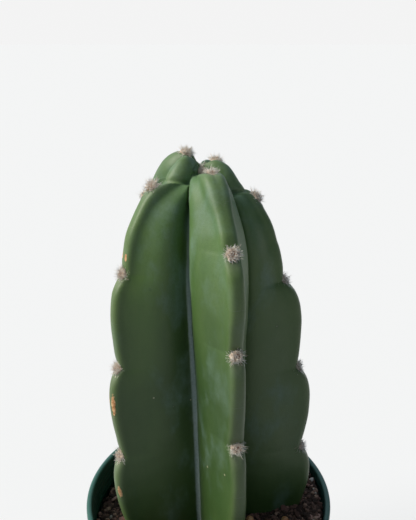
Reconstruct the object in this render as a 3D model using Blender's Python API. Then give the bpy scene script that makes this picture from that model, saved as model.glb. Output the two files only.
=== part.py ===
"""A tall five-ribbed cactus in a round nursery pot, filled with potting mix.

Everything is in metres, +Z up. The origin is the middle of the pot's foot, on the surface it stands on.
Azimuths turn about +Z: 0 is towards -Y, the front, and 90 is towards +X.
"""

import math
import random
from typing import NamedTuple

import bmesh
import bpy
import numpy as np
from mathutils import Matrix, Vector
from mathutils.bvhtree import BVHTree

MM = 0.001
GAP = 0.3 * MM  # between two pieces that touch

# Pot: a nominal four-inch round nursery pot
RIM_RADIUS = 50.8 * MM
RIM_Z = 89.0 * MM
LIP_WIDTH = 2.2 * MM
LIP_DEPTH = 3.0 * MM
COLLAR_RADIUS = 49.8 * MM
COLLAR_DEPTH = 21.0 * MM
STEP_WIDTH = 1.6 * MM
FOOT_RADIUS = 35.5 * MM
WALL = 1.4 * MM
FLOOR_Z = 3.2 * MM
DRAIN_RADIUS = 5.0 * MM
DRAIN_CIRCLE = 20.0 * MM
DRAIN_COUNT = 4
NOTCH_WIDTH = 11.0 * MM
POT_SIDES = 56

# Potting mix: heaped to the right
SOIL_TOP_Z = RIM_Z - 8.5 * MM
SOIL_SLOPE = 0.12
SOIL_SIDES = 40

# Stem: each row is ridge radius, ridge height, valley radius, valley height, in millimetres from the
# stem's axis and above the pot's rim, from the growing tip down to the buried foot
STEM_ROWS = (
    (0.0, 136.2, 0.0, 136.0),
    (6.0, 140.0, 3.0, 134.9),
    (12.2, 138.9, 5.2, 132.2),
    (17.8, 134.5, 7.2, 128.6),
    (22.5, 128.7, 9.2, 124.0),
    (27.5, 120.3, 11.4, 117.2),
    (31.0, 110.4, 13.0, 109.0),
    (33.2, 100.0, 14.2, 100.0),
    (35.0, 85.0, 14.0, 85.0),
    (36.2, 68.0, 13.4, 68.0),
    (37.2, 48.0, 12.8, 48.0),
    (37.8, 28.0, 12.8, 28.0),
    (37.8, 12.0, 13.0, 12.0),
    (36.6, -2.0, 13.0, -2.0),
    (33.6, -14.0, 12.6, -14.0),
    (28.0, -23.5, 12.0, -23.5),
    (20.0, -30.0, 10.0, -30.0),
    (12.0, -33.6, 8.0, -33.6),
)


class Rib(NamedTuple):
    name: str
    azimuth: float  # degrees
    turn: float  # its place in the spiral of areoles
    low_girth: float  # how much wider than the rows it is low down
    tip_girth: float
    swell: float  # how far its segments swell between areoles
    lift: float  # how far it stands above the rows at the tip
    plump: float  # how round its young segments are, from 0 to 1


RIBS = (
    Rib("front", 16.3, 0.00, 0.94, 1.16, 3.6 * MM, -4.0 * MM, 0.4),
    Rib("right", 87.9, 0.64, 0.98, 0.80, 4.0 * MM, -0.3 * MM, 1.0),
    Rib("back_right", 158.5, 0.20, 1.00, 0.95, 3.6 * MM, 0.0 * MM, 1.0),
    Rib("back_left", 229.1, -0.20, 1.00, 1.09, 3.6 * MM, 1.4 * MM, 1.0),
    Rib("left", 299.8, 0.40, 1.01, 0.96, 3.0 * MM, 2.3 * MM, 1.0),
)
LEAN = (-0.027, 0.013)  # sideways drift of the stem's axis for each metre of height
AXIS_START = (1.0 * MM, -0.5 * MM)
RIDGE_ROUND = 3.2 * MM
VALLEY_ROUND = 1.8 * MM
FLANK_BULGE = 1.3 * MM
YOUNG_SWELL = 0.25  # the share of its swell that a segment has at the tip
FULL_SWELL_ARC = 62.0 * MM
SWELL_SKEW = 0.6  # below 1 puts a segment's fullest point above its middle
CREASE_DEPTH = 0.8 * MM
CREASE_WIDTH = 1.6 * MM
CREASE_RISE = 7.5 * MM  # how far up the flank a crease climbs from its areole to the valley
SETBACK = 3.8 * MM  # how far a young segment stands back from the one below it
SETBACK_STEP = 3.2 * MM  # the step's way up the ridge from the areole
LIFT_ARC = 6.5 * MM
LIFT_REACH = 7.0 * MM
PLUMP_SHARE = 0.34  # a young rib's cap radius over its ridge radius
PLUMP_ARC = (10.0 * MM, 31.0 * MM)  # fully plump above the first, slim below the second
GIRTH_FROM = 20.0 * MM  # heights between which the low girth turns into the tip's
GIRTH_TO = 110.0 * MM
CROWN_ARC = 36.0 * MM  # the arc from the tip over which creases reach across a rib

# Areoles sit on a two-fifths spiral, and the young ones near the tip are closer together
TIP_ARC = 12.0 * MM
AREOLE_SPACING = 37.0 * MM
HIGHEST_TURN = -0.35  # no areole is nearer the tip than this place in the spiral
YOUNG_LAG = 11.5 * MM
AREOLE_TILT = math.radians(16)
PAD_RADIUS = 2.1 * MM
PAD_HEIGHT = 1.2 * MM
PAD_UNDERSIDE = 0.25  # the underside's depth as a share of the height
RADIAL_SPINES = 5
RADIAL_WAY = (0.8, 0.6)  # out along the pad and away from it
SPINE_LENGTH = 2.2 * MM
SPINE_INSET = 0.28 * MM

# Roots
ROOT_COUNT = 5
ROOT_CROWN_Z = RIM_Z - 34.3 * MM
ROOT_CROWN_DEPTH = 16.0 * MM
ROOT_CROWN_RADIUS = 4.5 * MM
ROOT_RADIUS = 1.7 * MM
ROOT_TIP_RADIUS = 0.8 * MM
ROOT_STEPS = 6
ROOT_SIDES = 6

# Loose grains on the mix
PRILL_COUNT = 8
PERLITE_COUNT = 6
CHIP_COUNT = 8

COLOURS = {
    "pot_plastic": ((0.018, 0.085, 0.066), 0.45),
    "potting_mix": ((0.035, 0.018, 0.012), 0.95),
    "cactus_skin": ((0.040, 0.085, 0.030), 0.42),
    "areole_wool": ((0.75, 0.64, 0.50), 0.95),
    "root_bark": ((0.33, 0.21, 0.11), 0.90),
    "bark_chip": ((0.10, 0.042, 0.028), 0.85),
    "perlite": ((0.74, 0.66, 0.58), 0.90),
    "prill_coat": ((0.56, 0.30, 0.12), 0.35),
}


# ---------------------------------------------------------------- helpers


def remove_all_objects():
    for old in list(bpy.data.objects):
        bpy.data.objects.remove(old)


def finish_of(name):
    """The Principled material called name, made once."""
    found = bpy.data.materials.get(name)
    if found:
        return found
    colour, roughness = COLOURS[name]
    made = bpy.data.materials.new(name)
    made.use_nodes = True
    shader = made.node_tree.nodes["Principled BSDF"]
    shader.inputs["Base Color"].default_value = (*colour, 1.0)
    shader.inputs["Roughness"].default_value = roughness
    shader.inputs["Metallic"].default_value = 0.0
    return made


def make_object(name, bm, finish, smooth_angle=None):
    """Writes a bmesh to a new, named object with its faces pointing out."""
    bmesh.ops.recalc_face_normals(bm, faces=bm.faces)
    mesh = bpy.data.meshes.new(name)
    bm.to_mesh(mesh)
    bm.free()
    made = bpy.data.objects.new(name, mesh)
    bpy.context.scene.collection.objects.link(made)
    mesh.materials.append(finish_of(finish))
    if smooth_angle is not None:
        mesh.shade_smooth()
        mesh.set_sharp_from_angle(angle=math.radians(smooth_angle))
    return made


def as_cutter(made):
    made.hide_render = True
    made.display_type = "WIRE"
    return made


def cut(target, cutter):
    modifier = target.modifiers.new("cut_" + cutter.name, "BOOLEAN")
    modifier.operation = "DIFFERENCE"
    modifier.solver = "EXACT"
    modifier.object = as_cutter(cutter)


def unite(target, other):
    modifier = target.modifiers.new("unite_" + other.name, "BOOLEAN")
    modifier.operation = "UNION"
    modifier.solver = "EXACT"
    modifier.object = as_cutter(other)


def surface_of(made):
    """A tree that finds the nearest point of an object's surface."""
    bm = bmesh.new()
    bm.from_mesh(made.data)
    tree = BVHTree.FromBMesh(bm)
    bm.free()
    return tree


def settle(points, tree, way):
    """How far to shift points along a way until they all stand clear of a surface."""
    shift = 0.0
    while True:
        short = 0.0
        for p in points:
            nearest, normal, _, _ = tree.find_nearest(p + way * shift)
            short = max(short, 1.2 * GAP - (p + way * shift - nearest).dot(normal))
        if short <= 0.0:
            return shift
        shift += max(short * 0.5, 0.02 * MM)


def direction(azimuth):
    """The level unit vector at an azimuth in radians."""
    return Vector((math.sin(azimuth), -math.cos(azimuth), 0.0))


def bridge_rings(bm, rings, start=None, end=None):
    """Joins rings of vertices with quads, and closes each end with a fan on its middle point."""
    for upper, lower in zip(rings, rings[1:]):
        count = len(upper)
        for i in range(count):
            j = (i + 1) % count
            bm.faces.new((upper[i], upper[j], lower[j], lower[i]))
    for ring, middle in ((rings[0], start), (rings[-1], end)):
        count = len(ring)
        for i in range(count):
            bm.faces.new((ring[i], ring[(i + 1) % count], middle))


# ---------------------------------------------------------------- stem


class SmoothTable:
    """A smooth curve through rows of numbers, read at an arc length along its first two columns."""

    def __init__(self, rows):
        self.rows = np.array(rows, float) * MM
        chord = np.linalg.norm(np.diff(self.rows[:, :2], axis=0), axis=1)
        self.arc = np.concatenate([[0.0], np.cumsum(chord)])
        self.slope = np.gradient(self.rows, self.arc, axis=0)

    def at(self, arc):
        arc = min(max(arc, 0.0), self.arc[-1])
        i = min(int(np.searchsorted(self.arc, arc, side="right")) - 1, len(self.arc) - 2)
        span = self.arc[i + 1] - self.arc[i]
        t = (arc - self.arc[i]) / span
        from_start = (2 * t**3 - 3 * t**2 + 1) * self.rows[i] + (t**3 - 2 * t**2 + t) * span * self.slope[i]
        from_end = (3 * t**2 - 2 * t**3) * self.rows[i + 1] + (t**3 - t**2) * span * self.slope[i + 1]
        return from_start + from_end

    def outward(self, arc):
        """The unit normal of the first two columns' curve, away from the axis."""
        ahead, behind = self.at(arc + 0.5 * MM), self.at(arc - 0.5 * MM)
        along = (ahead - behind)[:2]
        along /= np.linalg.norm(along)
        return np.array([-along[1], along[0]])


MERIDIAN = SmoothTable(STEM_ROWS)


def areole_arc(turn):
    """How far down the ridge from the tip an areole sits, for its place in the spiral."""
    return TIP_ARC + AREOLE_SPACING * turn - YOUNG_LAG * (1 - math.exp(-turn))


def areole_arcs(rib):
    """The arcs of one rib's areoles, from the tip to past the foot."""
    return [areole_arc(rib.turn + n) for n in range(-1, 6) if rib.turn + n > HIGHEST_TURN]


def segment_place(rib, arc):
    """Where an arc lies between two areoles of a rib, from 0 just below one to 1 at the next, and its way
    from the nearest one: more than 0 below it, less than 0 above it."""
    edges = [-0.5 * AREOLE_SPACING] + areole_arcs(rib)
    start = max(e for e in edges if e <= arc)
    end = next((e for e in edges if e > arc), start + AREOLE_SPACING)
    past, ahead = arc - start, end - arc
    return past / (end - start), past if past < ahead else -ahead


def girth(rib, height):
    """How much wider or narrower than the table a rib is at a height."""
    share = min(max((height - GIRTH_FROM) / (GIRTH_TO - GIRTH_FROM), 0.0), 1.0)
    return rib.low_girth + (rib.tip_girth - rib.low_girth) * share**2.5


def smooth_rise(value, low, high):
    """0 at low and 1 at high, with a smooth rise between them."""
    t = min(max((value - low) / (high - low), 0.0), 1.0)
    return t * t * (3 - 2 * t)


def half_section(ridge, valley, half_angle, plump, cap_steps, flank_steps, valley_steps):
    """Half of a rib's cross-section, from the ridge's middle to the valley's, as (out, across) pairs.

    A round cap and a round valley are joined by their common tangent, which is the flank. plump, from 0 to 1,
    widens the cap. Where there is no room for both rounds, they shrink.
    """
    valley_way = np.array([math.cos(half_angle), math.sin(half_angle)])
    cap = RIDGE_ROUND + (PLUMP_SHARE * ridge - RIDGE_ROUND) * plump
    hollow = VALLEY_ROUND * (1 - 0.6 * plump)
    between = np.zeros(2)
    while np.linalg.norm(between) < 1.08 * (cap + hollow):
        cap, hollow = 0.95 * cap, 0.95 * hollow
        cap_middle = np.array([ridge - cap, 0.0])
        hollow_middle = (valley + hollow) * valley_way
        between = hollow_middle - cap_middle
    turn = math.atan2(between[1], between[0])
    facing = turn - math.acos((cap + hollow) / np.linalg.norm(between))
    points = []
    for i in range(cap_steps + 1):
        a = facing * i / cap_steps
        points.append(cap_middle + cap * np.array([math.cos(a), math.sin(a)]))
    normal = np.array([math.cos(facing), math.sin(facing)])
    touch = hollow_middle - hollow * normal
    start = points[-1]
    bulge = FLANK_BULGE * min(1.0, ridge / (30 * MM))
    for i in range(1, flank_steps):
        t = i / flank_steps
        points.append(start + (touch - start) * t + normal * bulge * math.sin(math.pi * t))
    for i in range(valley_steps + 1):
        a = math.pi + facing + (half_angle - facing) * i / valley_steps
        points.append(hollow_middle + hollow * np.array([math.cos(a), math.sin(a)]))
    return points


def axis_at(height):
    """The stem's axis at a height above the rim."""
    return Vector((AXIS_START[0] + LEAN[0] * height, AXIS_START[1] + LEAN[1] * height, 0.0))


def stem_ring(arc, grow, steps):
    """One ring of points round the stem. grow swells it, for the hollow that the foot fills."""
    ridge_r, ridge_z, valley_r, valley_z = MERIDIAN.at(arc)
    out_r, out_z = MERIDIAN.outward(arc)
    crown = max(0.0, 1.0 - arc / CROWN_ARC) * min(1.0, arc / TIP_ARC)
    grown = YOUNG_SWELL + (1 - YOUNG_SWELL) * min(1.0, max(0.0, arc - CROWN_ARC) / (FULL_SWELL_ARC - CROWN_ARC))
    grown *= min(1.0, (MERIDIAN.arc[-1] - arc) / (25 * MM))
    plump = 1 - smooth_rise(arc, *PLUMP_ARC)
    lift = math.exp(-(((arc - LIFT_ARC) / LIFT_REACH) ** 2))
    ring = []
    for k, rib in enumerate(RIBS):
        azimuth = math.radians(rib.azimuth)
        wide = ridge_r * girth(rib, ridge_z) + grow
        for side in (-1, 1):
            other = RIBS[(k + side) % len(RIBS)]
            half = math.radians(((other.azimuth - rib.azimuth) * side) % 360) / 2
            half_points = half_section(wide, valley_r + grow, half, plump * rib.plump, *steps)
            laid = []
            for i, (out, across) in enumerate(half_points):
                q = i / (len(half_points) - 1)
                reach = min(max((math.hypot(out, across) - valley_r) / max(wide - valley_r, 1e-6), 0.0), 1.0)
                climb = CREASE_RISE * crown**0.5 * (1 - (1 - q) ** 4) * (1 - 0.6 * q * q)
                place, way = segment_place(rib, arc + climb)
                swell = rib.swell * grown * math.sin(math.pi * place**SWELL_SKEW) * reach**2.5
                step = place**2 * (1 if way > 0 else smooth_rise(-way, 0, SETBACK_STEP))
                swell -= SETBACK * min(1.0, 2.5 * crown) * step * reach
                groove = math.exp(-(((way + SETBACK_STEP) / CREASE_WIDTH) ** 2))
                crease = CREASE_DEPTH * crown * groove * math.sin(math.pi * q)
                place_xy = (
                    direction(azimuth) * (out + swell * out_r)
                    + direction(azimuth + math.pi / 2) * side * (across - crease)
                )
                height = valley_z + (ridge_z + rib.lift * lift - valley_z) * reach
                height += swell * out_z - grow * (1 - out_r)
                laid.append(place_xy + axis_at(height) + Vector((0, 0, height + RIM_Z)))
            if side == -1:
                ring.extend(reversed(laid[1:]))
            else:
                ring.extend(laid[:-1])
    return ring


def stem_arcs():
    """Rows close together on the crown and wider apart down the stem."""
    arcs = [2.0 * MM]
    while arcs[-1] < MERIDIAN.arc[-1] - 4.0 * MM:
        arcs.append(arcs[-1] + (2.6 * MM if arcs[-1] < CROWN_ARC else 4.3 * MM))
    return arcs


def stem_bmesh(arcs, grow=0.0):
    bm = bmesh.new()
    rings = [[bm.verts.new(p) for p in stem_ring(arc, grow, (2, 3, 1))] for arc in arcs]
    ends = []
    for ring in (rings[0], rings[-1]):
        ends.append(bm.verts.new(sum((v.co for v in ring), Vector()) / len(ring)))
    bridge_rings(bm, rings, *ends)
    return bm


def make_stem():
    return make_object("stem", stem_bmesh(stem_arcs()), "cactus_skin", smooth_angle=60)


# ---------------------------------------------------------------- areoles


def areole_frame(rib, arc):
    """Where an areole sits on the ridge, the way it faces, and the way up its rib."""
    ridge_r, ridge_z, _, _ = MERIDIAN.at(arc)
    out_r, out_z = MERIDIAN.outward(arc)
    level = direction(math.radians(rib.azimuth))
    ridge_z += rib.lift * math.exp(-(((arc - LIFT_ARC) / LIFT_REACH) ** 2))
    facing = (level * out_r + Vector((0, 0, out_z))).normalized()
    uphill = (Vector((0, 0, 1)) * out_r - level * out_z).normalized()
    place = level * ridge_r * girth(rib, ridge_z) + axis_at(ridge_z) + Vector((0, 0, ridge_z + RIM_Z))
    turned = facing * math.cos(AREOLE_TILT) + uphill * math.sin(AREOLE_TILT)
    return place, turned, uphill * math.cos(AREOLE_TILT) - facing * math.sin(AREOLE_TILT)


def soil_height(x, y):
    """The mix's top at a point, in a plain slope with two low waves."""
    wave = 0.7 * MM * math.sin(x / (9 * MM)) * math.cos(y / (11 * MM) + 0.7)
    return SOIL_TOP_Z + SOIL_SLOPE * x + wave


def bare_areoles(rib):
    """The areole frames of a rib that stand clear of the mix."""
    frames = []
    for arc in areole_arcs(rib):
        if arc < MERIDIAN.arc[-1]:
            place, facing, uphill = areole_frame(rib, arc)
            if place.z > soil_height(place.x, place.y) + 6 * MM:
                frames.append((place, facing, uphill))
    return frames


def frame_matrix(place, facing, uphill):
    """Z along the areole's facing, Y up its rib."""
    turn = Matrix((uphill.cross(facing), uphill, facing)).transposed().to_4x4()
    return Matrix.Translation(place) @ turn


def spine_ways():
    """One spine straight out of an areole, and the rest in a ring round it."""
    ways = [Vector((0, 0, 1))]
    for i in range(RADIAL_SPINES):
        a = 2 * math.pi * i / RADIAL_SPINES + math.pi / 2
        ways.append(Vector((RADIAL_WAY[0] * math.cos(a), RADIAL_WAY[0] * math.sin(a), RADIAL_WAY[1])))
    return ways


def make_areole(name, frame, stem_surface):
    """A pad of wool with short spines drawn out of it, in one piece."""
    bm = bmesh.new()
    bmesh.ops.create_icosphere(bm, subdivisions=2, radius=1.0)
    rooted = []
    for way in spine_ways():
        free = [f for f in bm.faces if f not in rooted]
        rooted.append(max(free, key=lambda f: f.calc_center_median().dot(way)))
    bmesh.ops.scale(bm, vec=(PAD_RADIUS, PAD_RADIUS, PAD_HEIGHT), verts=bm.verts)
    for v in bm.verts:
        v.co.z *= PAD_UNDERSIDE if v.co.z < 0 else 1.0
    bmesh.ops.inset_individual(bm, faces=rooted, thickness=SPINE_INSET)
    bmesh.ops.poke(bm, faces=rooted, offset=SPINE_LENGTH)
    matrix = frame_matrix(*frame)
    bmesh.ops.transform(bm, matrix=matrix, verts=bm.verts)
    lift = settle([v.co for v in bm.verts], stem_surface, frame[1])
    bmesh.ops.translate(bm, vec=frame[1] * lift, verts=bm.verts)
    return make_object(name, bm, "areole_wool")


# ---------------------------------------------------------------- pot


def inner_wall():
    """The pot's inside as (radius, height) points, from the floor up to the top of the collar."""
    collar_z = RIM_Z - COLLAR_DEPTH
    foot = FOOT_RADIUS - WALL
    floor_top = FLOOR_Z + WALL
    return (
        (foot - 1.0 * MM, floor_top),
        (foot + 0.4 * MM, floor_top + 1.4 * MM),
        (COLLAR_RADIUS - STEP_WIDTH - WALL, collar_z - STEP_WIDTH + 0.5 * MM),
        (COLLAR_RADIUS - 0.5 * MM - WALL, collar_z + 0.5 * MM),
    )


def pot_profile():
    """The pot's wall as a closed outline of (radius, height), outside going down and inside going up."""
    collar_z = RIM_Z - COLLAR_DEPTH
    below_collar = COLLAR_RADIUS - STEP_WIDTH
    inner_foot = FOOT_RADIUS - WALL
    return (
        (RIM_RADIUS - 0.7 * MM, RIM_Z),
        (RIM_RADIUS, RIM_Z - 0.7 * MM),
        (RIM_RADIUS, RIM_Z - LIP_DEPTH + 0.5 * MM),
        (RIM_RADIUS - 0.5 * MM, RIM_Z - LIP_DEPTH),
        (COLLAR_RADIUS, RIM_Z - LIP_DEPTH),
        (COLLAR_RADIUS - 0.5 * MM, collar_z),
        (below_collar, collar_z - STEP_WIDTH),
        (FOOT_RADIUS + 0.5 * MM, 3.0 * MM),
        (FOOT_RADIUS, 0.0),
        (inner_foot, 0.0),
        (inner_foot, FLOOR_Z),
        (0.0, FLOOR_Z),
        (0.0, FLOOR_Z + WALL),
        *inner_wall(),
        (RIM_RADIUS - LIP_WIDTH, RIM_Z - 0.7 * MM),
        (RIM_RADIUS - LIP_WIDTH + 0.6 * MM, RIM_Z),
    )


def make_pot():
    """The wall spun round the axis, with drain holes in its floor and notches through its foot ring."""
    bm = bmesh.new()
    profile = [bm.verts.new((r, 0.0, z)) for r, z in pot_profile()]
    outline = [bm.edges.new((a, b)) for a, b in zip(profile, profile[1:] + profile[:1])]
    axis_edge = outline[[p[0] for p in pot_profile()].index(0.0)]
    outline.remove(axis_edge)
    bm.edges.remove(axis_edge)
    bmesh.ops.spin(
        bm,
        geom=profile + outline,
        axis=(0, 0, 1),
        cent=(0, 0, 0),
        steps=POT_SIDES,
        angle=2 * math.pi,
        use_merge=False,
    )
    bmesh.ops.remove_doubles(bm, verts=bm.verts, dist=1e-6)
    pot = make_object("pot", bm, "pot_plastic", smooth_angle=35)
    centres = [Vector((0, 0, 0))]
    centres += [direction(math.radians(45 + 90 * i)) * DRAIN_CIRCLE for i in range(DRAIN_COUNT)]
    for i, centre in enumerate(centres):
        drill = bmesh.new()
        bmesh.ops.create_cone(
            drill,
            cap_ends=True,
            segments=20,
            radius1=DRAIN_RADIUS,
            radius2=DRAIN_RADIUS,
            depth=20 * MM,
            matrix=Matrix.Translation(centre),
        )
        cut(pot, make_object(f"drain_cutter_{i}", drill, "pot_plastic"))
    for i in range(DRAIN_COUNT):
        azimuth = math.radians(90 * i)
        block = bmesh.new()
        spot = direction(azimuth) * FOOT_RADIUS
        size = Matrix.Diagonal((NOTCH_WIDTH, 14 * MM, 2 * (FLOOR_Z - 0.6 * MM), 1.0))
        placed = Matrix.Translation(spot) @ Matrix.Rotation(azimuth, 4, "Z") @ size
        bmesh.ops.create_cube(block, size=1.0, matrix=placed)
        cut(pot, make_object(f"notch_cutter_{i}", block, "pot_plastic"))
    return pot


# ---------------------------------------------------------------- roots and potting mix


def root_path(index):
    """A root's middle line, from the crown's side out and down towards the wall."""
    azimuth = 2 * math.pi * (index + 0.35) / ROOT_COUNT
    spread = (25 - 3 * (index % 2)) * MM
    fall = (24 + 4 * (index % 3)) * MM
    points = []
    for i in range(ROOT_STEPS + 1):
        t = i / ROOT_STEPS
        out = 1.5 * MM + spread * math.sin(0.5 * math.pi * t)
        down = 0.55 * ROOT_CROWN_DEPTH + fall * t**1.4
        sway = 0.35 * math.sin(2.2 * math.pi * t + index)
        points.append(direction(azimuth + sway * t) * out + Vector((0, 0, ROOT_CROWN_Z - down)))
    return points


def add_tube(bm, path, start_radius, end_radius, sides):
    """A tapering tube along a path, with closed ends."""
    rings = []
    for i, point in enumerate(path):
        along = (path[min(i + 1, len(path) - 1)] - path[max(i - 1, 0)]).normalized()
        turn = along.to_track_quat("Z", "Y").to_matrix()
        radius = start_radius + (end_radius - start_radius) * i / (len(path) - 1)
        ring = []
        for k in range(sides):
            a = 2 * math.pi * k / sides
            ring.append(bm.verts.new(point + turn @ Vector((radius * math.cos(a), radius * math.sin(a), 0))))
        rings.append(ring)
    bridge_rings(bm, rings, bm.verts.new(path[0]), bm.verts.new(path[-1]))


def root_shapes(name, grow):
    """The root crown, then each root, as separate objects swollen by grow."""
    foot = axis_at(MERIDIAN.rows[-1][1])
    crown_path = [foot + Vector((0, 0, ROOT_CROWN_Z + z)) for z in (2 * grow, -0.4 * ROOT_CROWN_DEPTH)]
    crown_path.append(foot + Vector((0, 0, ROOT_CROWN_Z - ROOT_CROWN_DEPTH - grow)))
    bm = bmesh.new()
    add_tube(bm, crown_path, ROOT_CROWN_RADIUS + grow, 0.45 * ROOT_CROWN_RADIUS + grow, 2 * ROOT_SIDES)
    shapes = [make_object(name, bm, "root_bark", smooth_angle=60)]
    for i in range(ROOT_COUNT):
        bm = bmesh.new()
        path = root_path(i)
        path[-1] += (path[-1] - path[-2]).normalized() * grow
        add_tube(bm, path, ROOT_RADIUS + grow, ROOT_TIP_RADIUS + grow, ROOT_SIDES)
        shapes.append(make_object(f"{name}_{i}", bm, "root_bark", smooth_angle=60))
    return shapes


def make_roots():
    crown, *side_roots = root_shapes("roots", 0.0)
    for root in side_roots:
        unite(crown, root)
    return crown


def make_soil():
    """The mix: a plug that fills the pot, with a hollow for the stem's foot and the roots."""
    bm = bmesh.new()
    wall = [(r - 1.5 * GAP, z) for r, z in inner_wall()]
    wall[0] = (wall[0][0], wall[0][1] + GAP)
    edge = wall[-1][0]
    rings = []
    for share in (0.35, 0.65, 0.88, 1.0):
        ring = []
        for i in range(SOIL_SIDES):
            p = direction(2 * math.pi * i / SOIL_SIDES) * edge * share
            drop = 1.2 * MM if share == 1.0 else 0.0
            ring.append(bm.verts.new((p.x, p.y, soil_height(p.x, p.y) - drop)))
        rings.append(ring)
    for radius, level in reversed(wall[:-1]):
        ring = []
        for i in range(SOIL_SIDES):
            p = direction(2 * math.pi * i / SOIL_SIDES) * radius
            ring.append(bm.verts.new((p.x, p.y, level)))
        rings.append(ring)
    top = bm.verts.new((0, 0, soil_height(0, 0)))
    bridge_rings(bm, rings, top, bm.verts.new((0, 0, wall[0][1])))
    soil = make_object("potting_mix", bm, "potting_mix", smooth_angle=50)
    foot_arcs = [a for a in stem_arcs() if MERIDIAN.at(a)[1] < 16 * MM]
    cut(soil, make_object("foot_cutter", stem_bmesh(foot_arcs, grow=0.55 * MM), "potting_mix"))
    for hollow in root_shapes("root_cutter", 0.5 * MM):
        cut(soil, hollow)
    return soil


# ---------------------------------------------------------------- grains on the mix


def stem_outline():
    """The stem's outline just above the mix."""
    arc = next(a for a in stem_arcs() if MERIDIAN.at(a)[1] < 2 * MM)
    return [Vector((p.x, p.y)) for p in stem_ring(arc, 0.0, (2, 3, 1))]


def clear_of(outline, p, reach):
    """Whether a disc round p lies wholly outside a closed outline."""
    odd = False
    for a, b in zip(outline, outline[1:] + outline[:1]):
        share = (p - a).dot(b - a) / max((b - a).length_squared, 1e-12)
        if (p - a - (b - a) * min(max(share, 0.0), 1.0)).length < reach:
            return False
        if (a.y > p.y) != (b.y > p.y) and p.x < a.x + (b.x - a.x) * (p.y - a.y) / (b.y - a.y):
            odd = not odd
    return not odd


class GrainBed:
    """Hands out spots on the mix that are clear of the stem, the wall and each other."""

    def __init__(self, soil, seed):
        self.surface = surface_of(soil)
        self.random = random.Random(seed)
        self.outline = stem_outline()
        self.edge = inner_wall()[-1][0]
        self.taken = []

    def spot(self, reach):
        while True:
            azimuth = self.random.uniform(0, 2 * math.pi)
            p = direction(azimuth) * self.random.uniform(18 * MM, self.edge - reach - 1.0 * MM)
            crowded = any((p - q).length < reach + r + 0.5 * MM for q, r in self.taken)
            if not crowded and clear_of(self.outline, p.to_2d(), reach + 1.2 * MM):
                self.taken.append((p, reach))
                return p + Vector((0, 0, soil_height(p.x, p.y)))

    def lay(self, name, bm, reach, shape, finish):
        """Turns a unit shape to a random bearing and rests it on the mix as a named object."""
        turn = Matrix.Rotation(self.random.uniform(0, math.pi), 4, "Z")
        placed = Matrix.Translation(self.spot(reach)) @ turn @ Matrix.Diagonal((*shape, 1.0))
        bmesh.ops.transform(bm, matrix=placed, verts=bm.verts)
        up = Vector((0, 0, 1))
        lift = settle([v.co for v in bm.verts], self.surface, up)
        bmesh.ops.translate(bm, vec=up * lift, verts=bm.verts)
        return make_object(name, bm, finish, smooth_angle=45)


def make_prill(bed, index):
    """A round bead of coated fertiliser."""
    radius = bed.random.uniform(1.45, 1.65) * MM
    bm = bmesh.new()
    bmesh.ops.create_icosphere(bm, subdivisions=2, radius=1.0)
    bed.lay(f"fertiliser_prill_{index}", bm, radius, (radius, radius, radius), "prill_coat")


def make_perlite(bed, index):
    """A light, lumpy grain of popped glass."""
    radius = bed.random.uniform(1.5, 2.3) * MM
    bm = bmesh.new()
    bmesh.ops.create_icosphere(bm, subdivisions=1, radius=1.0)
    for v in bm.verts:
        v.co *= bed.random.uniform(0.8, 1.0)
    bed.lay(f"perlite_grain_{index}", bm, radius, (radius, 0.85 * radius, 0.7 * radius), "perlite")


def make_chip(bed, index):
    """A flat sliver of composted bark."""
    reach = bed.random.uniform(2.4, 3.6) * MM
    thickness = bed.random.uniform(1.0, 1.5) * MM
    bm = bmesh.new()
    bmesh.ops.create_cube(bm, size=1.0)
    for v in bm.verts:
        v.co.x *= bed.random.uniform(0.7, 1.0)
        v.co.y *= bed.random.uniform(0.6, 1.0)
    bed.lay(f"bark_chip_{index}", bm, reach, (1.8 * reach, 0.9 * reach, thickness), "bark_chip")


def main():
    remove_all_objects()
    make_pot()
    soil = make_soil()
    make_roots()
    stem_surface = surface_of(make_stem())
    for rib in RIBS:
        for i, frame in enumerate(bare_areoles(rib), 1):
            make_areole(f"areole_{rib.name}_{i}", frame, stem_surface)
    bed = GrainBed(soil, seed=7)
    for maker, count in ((make_prill, PRILL_COUNT), (make_perlite, PERLITE_COUNT), (make_chip, CHIP_COUNT)):
        for i in range(1, count + 1):
            maker(bed, i)


main()
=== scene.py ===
"""The looks of a five-ribbed cactus in a nursery pot: waxy skin, felted areoles, moulded plastic, gritty mix.

Metres, +Z up, the pot's foot on the floor at the origin. Azimuths turn about +Z: 0 is towards -Y, the front,
and 90 is towards +X.
"""

import math
from typing import NamedTuple

import bmesh
import bpy
import numpy as np
from mathutils import Matrix, Vector, noise


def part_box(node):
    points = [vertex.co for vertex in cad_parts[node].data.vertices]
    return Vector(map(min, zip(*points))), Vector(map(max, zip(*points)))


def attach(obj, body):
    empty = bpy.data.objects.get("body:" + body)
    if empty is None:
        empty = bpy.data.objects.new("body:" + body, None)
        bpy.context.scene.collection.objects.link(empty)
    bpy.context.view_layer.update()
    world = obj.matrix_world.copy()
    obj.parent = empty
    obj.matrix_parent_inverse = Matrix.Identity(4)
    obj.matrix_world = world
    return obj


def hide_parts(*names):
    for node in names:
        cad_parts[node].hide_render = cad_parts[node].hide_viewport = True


MM = 0.001

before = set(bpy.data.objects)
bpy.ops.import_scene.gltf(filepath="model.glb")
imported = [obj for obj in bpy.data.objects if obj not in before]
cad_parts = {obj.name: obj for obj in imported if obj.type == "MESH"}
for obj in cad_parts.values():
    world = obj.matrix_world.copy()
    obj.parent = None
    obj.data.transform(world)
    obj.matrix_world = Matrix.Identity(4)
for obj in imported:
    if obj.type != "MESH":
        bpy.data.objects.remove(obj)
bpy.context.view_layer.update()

POT_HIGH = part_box("pot")[1]
RIM_Z = POT_HIGH.z
RIM_RADIUS = POT_HIGH.x

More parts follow.
